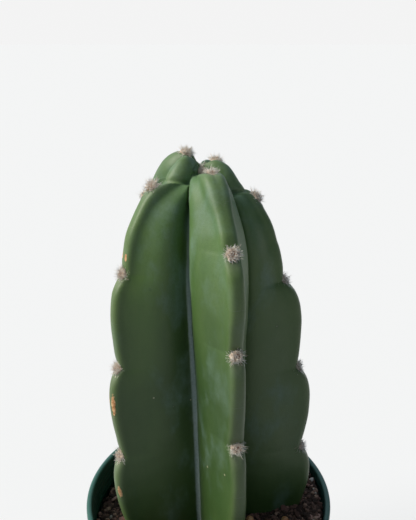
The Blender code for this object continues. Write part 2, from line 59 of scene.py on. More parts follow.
# Stem, as in the frame: ridge radius, ridge height, valley radius, valley height, in millimetres from the
# stem's axis and above the pot's rim, from the growing tip down to the buried foot
STEM_ROWS = (
    (0.0, 136.2, 0.0, 136.0),
    (6.0, 140.0, 3.0, 134.9),
    (12.2, 138.9, 5.2, 132.2),
    (17.8, 134.5, 7.2, 128.6),
    (22.5, 128.7, 9.2, 124.0),
    (27.5, 120.3, 11.4, 117.2),
    (31.0, 110.4, 13.0, 109.0),
    (33.2, 100.0, 14.2, 100.0),
    (35.0, 85.0, 14.0, 85.0),
    (36.2, 68.0, 13.4, 68.0),
    (37.2, 48.0, 12.8, 48.0),
    (37.8, 28.0, 12.8, 28.0),
    (37.8, 12.0, 13.0, 12.0),
    (36.6, -2.0, 13.0, -2.0),
    (33.6, -14.0, 12.6, -14.0),
    (28.0, -23.5, 12.0, -23.5),
    (20.0, -30.0, 10.0, -30.0),
    (12.0, -33.6, 8.0, -33.6),
)


class Rib(NamedTuple):
    name: str
    azimuth: float  # degrees
    turn: float  # its place in the spiral of areoles
    low_girth: float  # how much wider than the rows it is low down
    tip_girth: float
    swell: float  # how far its segments swell between areoles
    lift: float  # how far it stands above the rows at the tip
    plump: float  # how round its young segments are, from 0 to 1


RIBS = (
    Rib("front", 16.3, 0.00, 0.94, 1.16, 3.6 * MM, -4.0 * MM, 0.4),
    Rib("right", 87.9, 0.64, 0.98, 0.80, 4.0 * MM, -0.3 * MM, 1.0),
    Rib("back_right", 158.5, 0.20, 1.00, 0.95, 3.6 * MM, 0.0 * MM, 1.0),
    Rib("back_left", 229.1, -0.20, 1.00, 1.09, 3.6 * MM, 1.4 * MM, 1.0),
    Rib("left", 299.8, 0.40, 1.01, 0.96, 3.0 * MM, 2.3 * MM, 1.0),
)
LEAN = (-0.027, 0.013)  # sideways for each unit of height
AXIS_START = (1.0 * MM, -0.5 * MM)
RIDGE_ROUND = 3.2 * MM
RIDGE_SQUARENESS = 2.8  # 2 is a round ridge
VALLEY_ROUND = 1.8 * MM
FLANK_BULGE = 1.3 * MM
CROWN_FLANK_BULGE = 4.0 * MM  # more on young ribs, which close on each other
SLIT = 0.25 * MM  # the least half width of a closed valley
YOUNG_SWELL = 0.25  # a young segment's swell over a full one's
FULL_SWELL_ARC = 62.0 * MM
SWELL_SKEW = 0.6
CREASE_RISE = 7.5 * MM  # how far up the flank a crease climbs from its areole to the valley
SETBACK = 3.8 * MM  # how far a young segment stands back from the one below it
SETBACK_STEP = 3.2 * MM  # the step's way up the ridge from the areole
LIFT_ARC = 6.5 * MM
LIFT_REACH = 7.0 * MM
PLUMP_SHARE = 0.34  # a young rib's cap radius over its ridge radius
PLUMP_ARC = (10.0 * MM, 31.0 * MM)  # fully plump above the first, slim below the second
CROWN_ARC = 36.0 * MM
TIP_ARC = 12.0 * MM
AREOLE_SPACING = 37.0 * MM
FIRST_TURN = -0.35  # no areole comes before this turn of the spiral
LAST_AREOLES = 6
YOUNG_LAG = 11.5 * MM

# Areoles: a felt pad in a tuft of curly wool, with short spines
AREOLE_TILT = math.radians(16)
PAD_RADIUS = 2.0 * MM
PAD_HEIGHT = 0.9 * MM
PAD_DIMPLE = 0.4 * MM
PAD_SINK = 1.1 * MM
PAD_RINGS, PAD_SIDES = 7, 22
APEX_PAD_RADIUS = 2.4 * MM
STRAND_CURL = 1.3 * MM  # between one bend of a strand and the next
STRAND_POINTS, STRAND_SIDES = 6, 3
STRAND_TAPER = 0.75

# Pot: a rolled lip, a collar, a tapered body and a foot ring, as in the frame
LIP_WIDTH = 2.2 * MM
LIP_DEPTH = 3.0 * MM
COLLAR_RADIUS = 49.8 * MM
COLLAR_Z = RIM_Z - 21.0 * MM
STEP_WIDTH = 1.6 * MM
FOOT_RADIUS = 35.5 * MM
WALL = 1.4 * MM
FLOOR_Z = 3.2 * MM
DRAIN_RADIUS = 5.0 * MM
DRAIN_CIRCLE = 20.0 * MM
DRAIN_COUNT = 4
NOTCH_WIDTH = 11.0 * MM
NOTCH_HEIGHT = FLOOR_Z - 0.6 * MM
NOTCH_LENGTH = 14.0 * MM  # inwards, past the foot ring
CUTTER_DEPTH = 20.0 * MM
DRAFT = 0.5 * MM  # how much the collar and the foot narrow downwards
GRIP_RIDGES = 5  # faint ridges inside the collar
GRIP_PITCH = 2.2 * MM
GRIP_LOWEST = 13.0 * MM  # below the rim
SHARP_ANGLE = math.radians(40)
POT_SIDES = 192

# Potting mix: heaped to the right
MIX_TOP_Z = RIM_Z - 8.5 * MM
MIX_SLOPE = 0.12
MIX_GAP = 0.35 * MM  # to the stem and to the pot's wall
MIX_RINGS = 26
MIX_WAVE = 0.7 * MM
CRUMB_TIP = 0.6  # how far a crumb tips over, in radians
CRUMB_DENT = 0.9 * MM
MIX_RELIEF = ((1.5, 7, 2.0), (0.9, 2.8, 4.0))
MIX_SETTLING = 1.2 * MM  # lower where it meets the pot
SOCKET_START = 0.62  # the arc above which the stem is clear of the mix, over the whole
SOCKET_SAMPLES, SOCKET_ROWS = 140, 9

ROW_PITCH = 0.66 * MM  # between the fine stem's rings
CAP_STEPS, FLANK_STEPS, VALLEY_STEPS = 8, 13, 5

# Small relief on the stem
CREASE_DEPTH = 1.2 * MM
LOBE_RISE = 0.9 * MM
POCKET_DEPTH = 0.8 * MM  # the dip that an areole sits in
POCKET_REACH = 3.0 * MM
POCKET_SHARE = 0.16  # its width, as a share of the way from ridge to valley
STEM_RELIEF = ((0.35, 17, 1.0), (0.12, 6, 5.0))

# Studio
CAMERA_PLACE = (-0.2 * MM, -201.8 * MM, RIM_Z + 177.3 * MM)
CAMERA_DIP = math.radians(20.13)
LENS = 40.9
KEY_AZIMUTH, KEY_ELEVATION = math.radians(-84), math.radians(36)
KEY_SPREAD = math.radians(38)
KEY_STRENGTH = 3.6
KEY_COLOUR = (1.0, 0.96, 0.87)
SKY_COLOUR = (0.72, 0.86, 1.0)
BACK_LIGHT_WAY = (-0.35, 0.94, 0.0)
FLOOR_SIZE = 300.0
WHITE = 0.90


# ---------------------------------------------------------------- node graphs written as expressions


class Wire:
    """An output socket that adds Math nodes to its tree when it is used in an expression."""

    def __init__(self, graph, socket):
        self.graph, self.socket = graph, socket

    def math(self, operation, *values):
        return self.graph.node("ShaderNodeMath", {"operation": operation}, dict(enumerate(values)))

    def __add__(self, other):
        return self.math("ADD", self, other)

    def __radd__(self, other):
        return self.math("ADD", other, self)

    def __sub__(self, other):
        return self.math("SUBTRACT", self, other)

    def __rsub__(self, other):
        return self.math("SUBTRACT", other, self)

    def __mul__(self, other):
        return self.math("MULTIPLY", self, other)

    def __rmul__(self, other):
        return self.math("MULTIPLY", other, self)

    def __pow__(self, power):
        return self.math("POWER", self, power)

    def step(self, low, high):
        """0 below low and 1 above high, with a smooth rise between them. low may be the larger."""
        sockets = {"Value": self, "From Min": low, "From Max": high}
        return self.graph.node("ShaderNodeMapRange", {"interpolation_type": "SMOOTHSTEP"}, sockets)


class Graph:
    """One node tree, shader or geometry."""

    def __init__(self, tree):
        self.tree = tree

    def node(self, kind, settings=None, sockets=None, out=0):
        """Adds a node: its settings first, then the values or wires of its sockets, by name or number."""
        made = self.tree.nodes.new(kind)
        for key, value in (settings or {}).items():
            setattr(made, key, value)
        for key, value in (sockets or {}).items():
            target = made.inputs[key]
            if isinstance(value, Wire):
                self.tree.links.new(value.socket, target)
            else:
                target.default_value = value
        return Wire(self, made.outputs[out])


class Finish(Graph):
    """A material whose Principled shader is fed by expressions on the surface's own coordinates."""

    def __init__(self, name, **constants):
        self.material = bpy.data.materials.new(name)
        self.material.use_nodes = True
        super().__init__(self.material.node_tree)
        self.shader = self.tree.nodes["Principled BSDF"]
        for key, value in constants.items():
            self.shader.inputs[key.replace("_", " ")].default_value = value
        self.place = self.node("ShaderNodeTexCoord", out="Object")

    def scaled(self, x, y, z):
        """Object coordinates times a factor for each axis; patterns are sized in millimetres."""
        factors = (x / MM, y / MM, z / MM)
        return self.node("ShaderNodeVectorMath", {"operation": "MULTIPLY"}, {0: self.place, 1: factors})

    def cloud(self, size_mm, detail=3.0, stretch=1.0, rough=0.55, shift=0.0):
        """Soft noise with blotches about size_mm across, drawn out upwards by stretch."""
        scale = 1.0 / size_mm
        vector = self.scaled(scale, scale, scale / stretch)
        if shift:
            moved = {0: vector, 1: (shift, shift, shift)}
            vector = self.node("ShaderNodeVectorMath", {"operation": "ADD"}, moved)
        sockets = {"Vector": vector, "Scale": 1.0, "Detail": detail, "Roughness": rough}
        return self.node("ShaderNodeTexNoise", None, sockets, out="Fac")

    def cells(self, size_mm, out="Distance"):
        vector = self.scaled(1.0 / size_mm, 1.0 / size_mm, 1.0 / size_mm)
        return self.node("ShaderNodeTexVoronoi", None, {"Vector": vector, "Scale": 1.0}, out=out)

    def attribute(self, name):
        return self.node("ShaderNodeAttribute", {"attribute_name": name}, out="Fac")

    def first_of(self, colour):
        """The first channel of a colour, as a number."""
        return self.node("ShaderNodeSeparateColor", None, {0: colour}, out=0)

    def mix(self, share, first, second):
        """A colour between first and second."""
        settings = {"data_type": "RGBA", "clamp_factor": True}
        sockets = {0: share, 6: self.paint(first), 7: self.paint(second)}
        return self.node("ShaderNodeMix", settings, sockets, out=2)

    @staticmethod
    def paint(colour):
        return (*colour, 1.0) if isinstance(colour, tuple) and len(colour) == 3 else colour

    def bump(self, height, depth_mm, strength=1.0):
        sockets = {"Height": height, "Distance": depth_mm * MM, "Strength": strength}
        return self.node("ShaderNodeBump", None, sockets)

    def feed(self, **wires):
        for key, wire in wires.items():
            self.tree.links.new(wire.socket, self.shader.inputs[key.replace("_", " ")])
        return self.material


class Recipe(Graph):
    """A Geometry Nodes tree with named inputs."""

    def __init__(self, name):
        super().__init__(bpy.data.node_groups.new(name, "GeometryNodeTree"))
        self.tree.interface.new_socket("Geometry", in_out="INPUT", socket_type="NodeSocketGeometry")
        self.tree.interface.new_socket("Geometry", in_out="OUTPUT", socket_type="NodeSocketGeometry")
        self.group_input = self.tree.nodes.new("NodeGroupInput")
        self.identifiers = {}
        self.mesh = Wire(self, self.group_input.outputs["Geometry"])

    def input(self, name, kind="Float"):
        socket = self.tree.interface.new_socket(name, in_out="INPUT", socket_type="NodeSocket" + kind)
        self.identifiers[name] = socket.identifier
        return Wire(self, self.group_input.outputs[name])

    def random(self, low, high, seed):
        """A random number for each element, or a random vector if the limits are vectors."""
        if isinstance(low, tuple):
            settings = {"data_type": "FLOAT_VECTOR"}
            return self.node("FunctionNodeRandomValue", settings, {0: low, 1: high, 8: seed}, out=0)
        return self.node("FunctionNodeRandomValue", {"data_type": "FLOAT"}, {2: low, 3: high, 8: seed}, out=1)

    def wander(self, size, detail, reach):
        """An offset that wanders from place to place, by up to half of reach each way."""
        sockets = {"Vector": self.node("GeometryNodeInputPosition"), "Scale": 1 / size, "Detail": detail}
        offset = self.node("ShaderNodeTexNoise", None, sockets, out="Color")
        half = {0: offset, 1: (0.5, 0.5, 0.5)}
        offset = self.node("ShaderNodeVectorMath", {"operation": "SUBTRACT"}, half)
        return self.node("ShaderNodeVectorMath", {"operation": "SCALE"}, {0: offset, "Scale": reach})

    def finish(self, geometry, material):
        """Ends the tree in Realize Instances and Set Material."""
        real = self.node("GeometryNodeRealizeInstances", None, {0: geometry})
        done = self.node("GeometryNodeSetMaterial", None, {"Geometry": real, "Material": material})
        output = self.tree.nodes.new("NodeGroupOutput")
        self.tree.links.new(done.socket, output.inputs["Geometry"])

    def grow(self, name, base_mesh, **values):
        """Runs the tree on a mesh and returns the result as a new object with a plain mesh."""
        base = add_object("base", base_mesh)
        modifier = base.modifiers.new("recipe", "NODES")
        modifier.node_group = self.tree
        for key, value in values.items():
            modifier[self.identifiers[key.replace("_", " ")]] = value
        graph = bpy.context.evaluated_depsgraph_get()
        graph.update()
        mesh = bpy.data.meshes.new_from_object(base.evaluated_get(graph), depsgraph=graph)
        mesh.name = name
        for slot in reversed(range(len(mesh.materials))):
            if mesh.materials[slot] is None:
                mesh.materials.pop(index=slot)
        grown = bpy.data.objects.new(name, mesh)
        bpy.context.scene.collection.objects.link(grown)
        bpy.data.objects.remove(base)
        return grown


# ---------------------------------------------------------------- meshes


def add_object(name, mesh, *materials):
    made = bpy.data.objects.new(name, mesh)
    bpy.context.scene.collection.objects.link(made)
    for material in materials:
        mesh.materials.append(material)
    return made


def mesh_from(name, points, faces):
    mesh = bpy.data.meshes.new(name)
    mesh.from_pydata([tuple(p) for p in points], [], [tuple(f) for f in faces])
    mesh.validate()
    mesh.shade_smooth()
    return mesh


def ring_faces(rows, columns):
    """Quads between rows of closed rings, then a fan at each end on two extra points."""
    faces = []
    for v in range(rows - 1):
        for u in range(columns):
            w = (u + 1) % columns
            faces.append((v * columns + u, (v + 1) * columns + u, (v + 1) * columns + w, v * columns + w))
    first, last = rows * columns, rows * columns + 1
    for u in range(columns):
        w = (u + 1) % columns
        faces.append((u, w, first))
        faces.append(((rows - 1) * columns + w, (rows - 1) * columns + u, last))
    return faces


def set_attribute(mesh, name, values):
    made = mesh.attributes.new(name, "FLOAT", "POINT")
    made.data.foreach_set("value", np.asarray(values, np.float32))


def face_out(mesh):
    bm = bmesh.new()
    bm.from_mesh(mesh)
    bmesh.ops.recalc_face_normals(bm, faces=bm.faces)
    bm.to_mesh(mesh)
    bm.free()


def level(azimuth):
    """The level unit vector at an azimuth in radians, as an array."""
    return np.array([math.sin(azimuth), -math.cos(azimuth), 0.0])


def value_noise(points, size_mm, seed=0.0):
    """Smooth noise from -1 to 1 at each point, with blotches about size_mm across."""
    shift = Vector((seed, 2 * seed, 3 * seed))
    return np.array([noise.noise(Vector(p) / (size_mm * MM) + shift) for p in points])


def relief(points, layers):
    """Uneven heights at points. Each layer of noise has a height and a size in millimetres, and a seed."""
    return sum(height * value_noise(points, size, seed) for height, size, seed in layers) * MM


def nodes_called(start):
    return sorted(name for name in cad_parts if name.startswith(start))


# ---------------------------------------------------------------- stem shape


class Meridian:
    """The stem's ridge and valley lines, read at an arc length down the ridge from the tip."""

    def __init__(self, rows):
        self.rows = np.array(rows, float) * MM
        chord = np.linalg.norm(np.diff(self.rows[:, :2], axis=0), axis=1)
        self.arc = np.concatenate([[0.0], np.cumsum(chord)])
        self.slope = np.gradient(self.rows, self.arc, axis=0)

    def at(self, arc):
        arc = min(max(arc, 0.0), self.arc[-1])
        i = min(int(np.searchsorted(self.arc, arc, side="right")) - 1, len(self.arc) - 2)
        span = self.arc[i + 1] - self.arc[i]
        t = (arc - self.arc[i]) / span
        from_start = (2 * t**3 - 3 * t**2 + 1) * self.rows[i] + (t**3 - 2 * t**2 + t) * span * self.slope[i]
        from_end = (3 * t**2 - 2 * t**3) * self.rows[i + 1] + (t**3 - t**2) * span * self.slope[i + 1]
        return from_start + from_end

    def outward(self, arc):
        ahead, behind = self.at(arc + 0.5 * MM), self.at(arc - 0.5 * MM)
        along = (ahead - behind)[:2]
        along /= np.linalg.norm(along)
        return np.array([-along[1], along[0]])


MERIDIAN = Meridian(STEM_ROWS)
FOOT_ARC = MERIDIAN.arc[-1]


def areole_arc(turn):
    return TIP_ARC + AREOLE_SPACING * turn - YOUNG_LAG * (1 - math.exp(-turn))


def areole_arcs(rib):
    return [areole_arc(rib.turn + n) for n in range(-1, LAST_AREOLES) if rib.turn + n > FIRST_TURN]


def segment_place(rib, arcs):
    """For each arc, its place from one areole (0) to the next (1), and its signed way from the nearest."""
    edges = np.array([-0.5 * AREOLE_SPACING] + areole_arcs(rib) + [1.0])
    i = np.clip(np.searchsorted(edges, arcs, side="right") - 1, 0, len(edges) - 2)
    past, ahead = arcs - edges[i], edges[i + 1] - arcs
    return past / (edges[i + 1] - edges[i]), np.where(past < ahead, past, -ahead)


def girth(rib, height):
    share = min(max((height - 20 * MM) / (90 * MM), 0.0), 1.0)
    return rib.low_girth + (rib.tip_girth - rib.low_girth) * share**2.5


def axis_at(height):
    return np.array([AXIS_START[0] + LEAN[0] * height, AXIS_START[1] + LEAN[1] * height, 0.0])


def smooth_rise(value, low, high):
    """0 at low and 1 at high, with a smooth rise between them."""
    t = np.clip((value - low) / (high - low), 0, 1)
    return t * t * (3 - 2 * t)


def half_section(ridge, valley, half_angle, bulge, plump):
    """Half of a rib's cross-section, from the ridge's middle to the valley's: a squarish cap, a bulging
    flank and a round valley. plump, from 0 to 1, widens the cap. Returns (out, across) rows."""
    valley_way = np.array([math.cos(half_angle), math.sin(half_angle)])
    cap = RIDGE_ROUND + (PLUMP_SHARE * ridge - RIDGE_ROUND) * plump
    hollow = VALLEY_ROUND * (1 - 0.6 * plump)
    between = np.zeros(2)
    while np.linalg.norm(between) < 1.02 * (cap + hollow):
        cap, hollow = 0.95 * cap, 0.95 * hollow
        cap_middle = np.array([ridge - cap, 0.0])
        hollow_middle = (valley + hollow) * valley_way
        between = hollow_middle - cap_middle
    turn = math.atan2(between[1], between[0])
    facing = turn - math.acos((cap + hollow) / np.linalg.norm(between))
    a = facing * np.linspace(0, 1, CAP_STEPS + 1)
    power = RIDGE_SQUARENESS + (2 - RIDGE_SQUARENESS) * plump
    squared = (np.abs(np.cos(a)) ** power + np.sin(a) ** power) ** (-1 / power)
    cap_line = cap_middle + cap * squared[:, None] * np.column_stack([np.cos(a), np.sin(a)])
    cap_line[:, 0] = np.minimum(cap_line[:, 0], ridge)
    normal = np.array([math.cos(facing), math.sin(facing)])
    touch = hollow_middle - hollow * normal
    t = np.linspace(0, 1, FLANK_STEPS + 1)[1:-1]
    lift = bulge * np.sin(math.pi * t**1.35)
    flank = cap_line[-1] + (touch - cap_line[-1]) * t[:, None] + normal * lift[:, None]
    a = math.pi + facing + (half_angle - facing) * np.linspace(0, 1, VALLEY_STEPS + 1)
    valley_line = hollow_middle + hollow * np.column_stack([np.cos(a), np.sin(a)])
    line = np.vstack([cap_line, flank, valley_line])
    away = np.array([math.sin(half_angle), -math.cos(half_angle)])
    short = np.maximum(SLIT - line @ away, 0)
    short[-VALLEY_STEPS:] = 0
    return line + short[:, None] * away


HALF_POINTS = CAP_STEPS + 1 + FLANK_STEPS - 1 + VALLEY_STEPS + 1
AROUND = 2 * len(RIBS) * (HALF_POINTS - 1)


def stem_ring(arc, grow=0.0):
    """One ring of the stem: its points, and for each its rib, share from ridge to valley, place along its
    segment and way from the nearest areole. grow swells the ring."""
    ridge_r, ridge_z, valley_r, valley_z = MERIDIAN.at(arc)
    out_r, out_z = MERIDIAN.outward(arc)
    crown = max(0.0, 1.0 - arc / CROWN_ARC) * min(1.0, arc / TIP_ARC)
    grown = min(1.0, max(0.0, arc - CROWN_ARC) / (FULL_SWELL_ARC - CROWN_ARC))
    grown = (YOUNG_SWELL + (1 - YOUNG_SWELL) * grown) * min(1.0, (FOOT_ARC - arc) / (25 * MM))
    young = math.exp(-((arc / (75 * MM)) ** 2))
    bulge = (FLANK_BULGE + CROWN_FLANK_BULGE * young) * min(1.0, ridge_r / (30 * MM))
    plump = 1 - smooth_rise(arc, *PLUMP_ARC)
    lift = math.exp(-(((arc - LIFT_ARC) / LIFT_REACH) ** 2))
    share = np.linspace(0, 1, HALF_POINTS)
    rows = []
    for k, rib in enumerate(RIBS):
        azimuth = math.radians(rib.azimuth)
        wide = ridge_r * girth(rib, ridge_z) + grow
        for side in (-1, 1):
            half = math.radians(((RIBS[(k + side) % len(RIBS)].azimuth - rib.azimuth) * side) % 360) / 2
            line = half_section(wide, valley_r + grow, half, bulge, plump * rib.plump)
            reach = np.clip((np.hypot(*line.T) - valley_r) / max(wide - valley_r, 1e-6), 0, 1)
            shifted = arc + CREASE_RISE * crown**0.5 * (1 - (1 - share) ** 4) * (1 - 0.6 * share**2)
            place, way = segment_place(rib, shifted)
            swell = rib.swell * grown * np.sin(math.pi * place**SWELL_SKEW) * reach**2.5
            step = place**2 * np.where(way > 0, 1, smooth_rise(-way, 0, SETBACK_STEP))
            swell -= SETBACK * min(1.0, 2.5 * crown) * step * reach
            height = valley_z + (ridge_z + rib.lift * lift - valley_z) * reach
            height = height + swell * out_z - grow * (1 - out_r)
            points = (line[:, :1] + swell[:, None] * out_r) * level(azimuth)
            points = points + side * line[:, 1:] * level(azimuth + math.pi / 2)
            points[:, 0] += AXIS_START[0] + LEAN[0] * height
            points[:, 1] += AXIS_START[1] + LEAN[1] * height
            points[:, 2] += height + RIM_Z
            facts = np.column_stack([points, np.full_like(share, k), share, place, way])
            rows.append(facts[1:][::-1] if side == -1 else facts[:-1])
    return np.vstack(rows)


def make_stem_mesh():
    """The fine stem: the rings, then creases, lobes and small unevenness along its own normals."""
    arcs = np.arange(0.8 * MM, FOOT_ARC, ROW_PITCH)
    grid = np.array([stem_ring(arc) for arc in arcs])
    points = grid[..., :3]
    rib, share, place, way = np.moveaxis(grid[..., 3:], -1, 0)
    down = np.gradient(points, axis=0)
    round_ = (np.roll(points, -1, axis=1) - np.roll(points, 1, axis=1)) / 2
    normal = np.cross(down, round_)
    normal /= np.maximum(np.linalg.norm(normal, axis=2, keepdims=True), 1e-12)
    crown = np.clip(1 - arcs / CROWN_ARC, 0, 1)[:, None] * np.clip(arcs / TIP_ARC, 0, 1)[:, None]
    across = np.sin(math.pi * share) ** 0.6
    crease = -CREASE_DEPTH * np.exp(-(((way + SETBACK_STEP) / MM) ** 2)) * across * np.clip(2.6 * crown, 0, 1)
    lobe = LOBE_RISE * np.sqrt(np.abs(np.sin(math.pi * place))) * across * np.clip(1.6 * crown, 0, 1)
    near = np.exp(-((way / POCKET_REACH) ** 2)) * np.exp(-((share / POCKET_SHARE) ** 2))
    pocket = -POCKET_DEPTH * near * np.clip(arcs / (20 * MM), 0, 1)[:, None]
    uneven = relief(points.reshape(-1, 3), STEM_RELIEF).reshape(share.shape)
    uneven *= np.clip(arcs / (12 * MM), 0, 1)[:, None]
    points = points + normal * (crease + lobe + pocket + uneven)[..., None]
    rows, columns = share.shape
    ends = [points[0].mean(axis=0), points[-1].mean(axis=0)]
    mesh = mesh_from("cactus_stem", np.vstack([points.reshape(-1, 3), ends]), ring_faces(rows, columns))
    facts = {
        "ridge_to_valley": share,
        "down_from_tip": np.repeat(arcs[:, None] / MM, columns, axis=1),
        "rib_number": rib,
        "way_from_areole": way / MM,
    }
    for name, values in facts.items():
        set_attribute(mesh, name, np.concatenate([values.ravel(), [values[0].mean(), values[-1].mean()]]))
    face_out(mesh)
    return mesh


# ---------------------------------------------------------------- stem finish


def skin_finish():
    """Waxy green skin: cloudy greens, darker down the stem partly as painted shade, a painted highlight along
    each ridge, a pale bloom, a wax line in each valley, specks and cork scars.
    """
    skin = Finish("cactus_skin", IOR=1.42, Coat_Roughness=0.35)
    share = skin.attribute("ridge_to_valley")
    arc = skin.attribute("down_from_tip")
    way = skin.attribute("way_from_areole")
    broad = skin.cloud(26, detail=4, stretch=2.2).step(0.36, 0.66)
    streaks = skin.cloud(5, detail=5, stretch=5.0, shift=3.1).step(0.35, 0.7)
    fine = skin.cloud(0.9, detail=3, shift=7.7)
    green = skin.mix(broad, (0.072, 0.150, 0.034), (0.112, 0.205, 0.052))
    green = skin.mix(streaks * 0.35, green, (0.150, 0.235, 0.066))
    # Darker down the stem: partly the older skin's darker green, partly painted shade for the key light
    # falling off towards the foot.
    green = skin.mix(arc.step(25, 105) * 0.62, green, (0.024, 0.058, 0.016))
    young = arc.step(60, 8)
    green = skin.mix(young * 0.40, green, (0.115, 0.215, 0.120))
    # Painted highlight: paler olive along every ridge, as where the caps catch the light.
    edge = share.step(0.36, 0.08)
    green = skin.mix(edge * 0.30, green, (0.185, 0.240, 0.095))
    bloom_patch = skin.cloud(13, detail=5, stretch=1.8, shift=11.3).step(0.50, 0.74)
    bloom = bloom_patch * (0.35 + 0.65 * share.step(0.2, 0.75)) * 0.60
    bloom = bloom + young * skin.cloud(7, detail=4, shift=2.4).step(0.42, 0.7) * 0.35
    green = skin.mix(bloom, green, (0.215, 0.325, 0.290))
    wax_edge = skin.cloud(1.6, detail=5, stretch=3.0, shift=5.5)
    wax = (share + wax_edge * 0.10 - 0.05).step(0.80, 0.93) * (0.45 + 0.55 * arc.step(40, 78))
    green = skin.mix(wax * 0.9, green, (0.460, 0.560, 0.520))
    below = (way.step(8.0, 1.0) * way.step(-0.6, 0.6)) * share.step(0.30, 0.06)
    green = skin.mix(below * 0.35, green, (0.330, 0.350, 0.270))
    green = skin.mix(fine.step(0.35, 0.75) * 0.22, green, (0.060, 0.110, 0.030))
    speck_cell = skin.cells(6.5)
    chosen = skin.first_of(skin.cells(6.5, out="Color")).step(0.80, 0.82)
    speck = speck_cell.step(0.075, 0.045) * chosen
    ring = speck_cell.step(0.16, 0.07) * chosen * 0.35
    green = skin.mix(ring, green, (0.030, 0.060, 0.022))
    green = skin.mix(speck * 0.8, green, (0.560, 0.560, 0.340))
    scar = skin.attribute("scar")
    grain = skin.cloud(1.1, detail=4, shift=9.0)
    corky = (scar + (grain - 0.5) * 0.9).step(0.42, 0.58)
    cork = skin.mix(grain.step(0.35, 0.65), (0.50, 0.20, 0.065), (0.78, 0.50, 0.26))
    colour = skin.mix(corky, green, cork)
    pores = skin.cells(0.42).step(0.0, 0.6)
    height = pores * 0.35 + fine * 0.5 + corky * grain * 4.0
    rough = 0.40 + bloom * 0.35 + wax * 0.2 + corky * 0.4 + fine * 0.08
    return skin.feed(Base_Color=colour, Roughness=rough, Normal=skin.bump(height, 0.09, 0.6))


# ---------------------------------------------------------------- studio


def make_studio():
    """Camera, one soft key from the left, a dim surround and a plain pale floor."""
    bpy.context.scene.view_settings.view_transform = "Standard"
    lens = bpy.data.cameras.new("camera")
    lens.lens = LENS
    lens.clip_end = 400
    camera = bpy.data.objects.new("camera", lens)
    camera.location = CAMERA_PLACE
    camera.rotation_euler = (math.radians(90) - CAMERA_DIP, 0, 0)
    bpy.context.scene.collection.objects.link(camera)
    bpy.context.scene.camera = camera

    key = bpy.data.lights.new("window_key", "SUN")
    key.energy = KEY_STRENGTH
    key.angle = KEY_SPREAD
    key.color = KEY_COLOUR
    key_object = bpy.data.objects.new("window_key", key)
    toward = Vector(level(KEY_AZIMUTH)) * math.cos(KEY_ELEVATION) + Vector((0, 0, math.sin(KEY_ELEVATION)))
    key_object.rotation_euler = toward.to_track_quat("Z", "Y").to_euler()
    bpy.context.scene.collection.objects.link(key_object)

    world = bpy.data.worlds.new("studio")
    world.use_nodes = True
    bpy.context.scene.world = world
    sky = Graph(world.node_tree)
    world.node_tree.nodes.clear()
    way = sky.node("ShaderNodeTexCoord", out="Generated")
    sockets = {0: way, 1: BACK_LIGHT_WAY}
    behind = sky.node("ShaderNodeVectorMath", {"operation": "DOT_PRODUCT"}, sockets, out=1)
    overhead = sky.node("ShaderNodeSeparateXYZ", None, {0: way}, out=2)
    glow = 0.15 + behind.step(-0.1, 0.9) * 0.50 + overhead.step(0.2, 1.0) * 0.22
    lit = sky.node("ShaderNodeBackground", None, {"Color": (*SKY_COLOUR, 1.0), "Strength": glow})
    seen = sky.node("ShaderNodeBackground", None, {"Color": (WHITE, WHITE, WHITE, 1.0), "Strength": 1.0})
    eye = sky.node("ShaderNodeLightPath", out="Is Camera Ray")
    both = sky.node("ShaderNodeMixShader", None, {0: eye, 1: lit, 2: seen})
    output = world.node_tree.nodes.new("ShaderNodeOutputWorld")
    world.node_tree.links.new(both.socket, output.inputs["Surface"])

    bpy.ops.mesh.primitive_plane_add(size=FLOOR_SIZE)
    floor = bpy.context.object
    floor.name = "floor"
    paper = Finish("floor_paper", Roughness=1.0, Specular_IOR_Level=0.0, Emission_Strength=0.66)
    paper.shader.inputs["Base Color"].default_value = (0.25, 0.25, 0.25, 1.0)
    paper.shader.inputs["Emission Color"].default_value = (1.0, 1.0, 1.0, 1.0)
    floor.data.materials.append(paper.material)
    floor.visible_diffuse = False


# ---------------------------------------------------------------- the scene


def scar_mask(mesh):
    """Cork scars: where on the stem, as rib, way down from the tip, share of the flank, and half lengths."""
    scars = (
        (4, 104.0, 0.12, 5.2, 0.07),
        (4, 141.0, 0.16, 3.0, 0.06),
        (4, 49.0, 0.10, 1.6, 0.05),
        (2, 88.0, 0.15, 3.5, 0.08),
    )
    facts = {}
    for name in ("rib_number", "down_from_tip", "ridge_to_valley"):
        values = np.empty(len(mesh.vertices), np.float32)
        mesh.attributes[name].data.foreach_get("value", values)
        facts[name] = values
    mask = np.zeros(len(mesh.vertices))
    for rib, arc, share, long, wide in scars:
        along = (facts["down_from_tip"] - arc) / long
        over = (facts["ridge_to_valley"] - share) / wide
        mask = np.maximum(mask, np.exp(-(along**2 + over**2)) * (facts["rib_number"] == rib))
    return mask


def make_stem():
    mesh = make_stem_mesh()
    set_attribute(mesh, "scar", scar_mask(mesh))
    stem = add_object("cactus_stem", mesh, skin_finish())
    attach(stem, "root")
    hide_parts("stem")


# ---------------------------------------------------------------- areoles


def areole_frames():
    """Each areole of the frame as (node name, place, facing, uphill)."""
    frames = []
    for rib in RIBS:
        for number, arc in enumerate((arc for arc in areole_arcs(rib) if arc < FOOT_ARC), 1):
            node = f"areole_{rib.name}_{number}"
            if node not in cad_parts:
                break
            ridge_r, ridge_z, _, _ = MERIDIAN.at(arc)
            out_r, out_z = MERIDIAN.outward(arc)
            out = level(math.radians(rib.azimuth))
            up = np.array([0.0, 0.0, 1.0])
            ridge_z += rib.lift * math.exp(-(((arc - LIFT_ARC) / LIFT_REACH) ** 2))
            place = out * ridge_r * girth(rib, ridge_z) + axis_at(ridge_z) + up * (ridge_z + RIM_Z)
            square, along = out * out_r + up * out_z, up * out_r - out * out_z
            facing = square * math.cos(AREOLE_TILT) + along * math.sin(AREOLE_TILT)
            uphill = along * math.cos(AREOLE_TILT) - square * math.sin(AREOLE_TILT)
            frames.append((node, place, facing, uphill))
    return frames


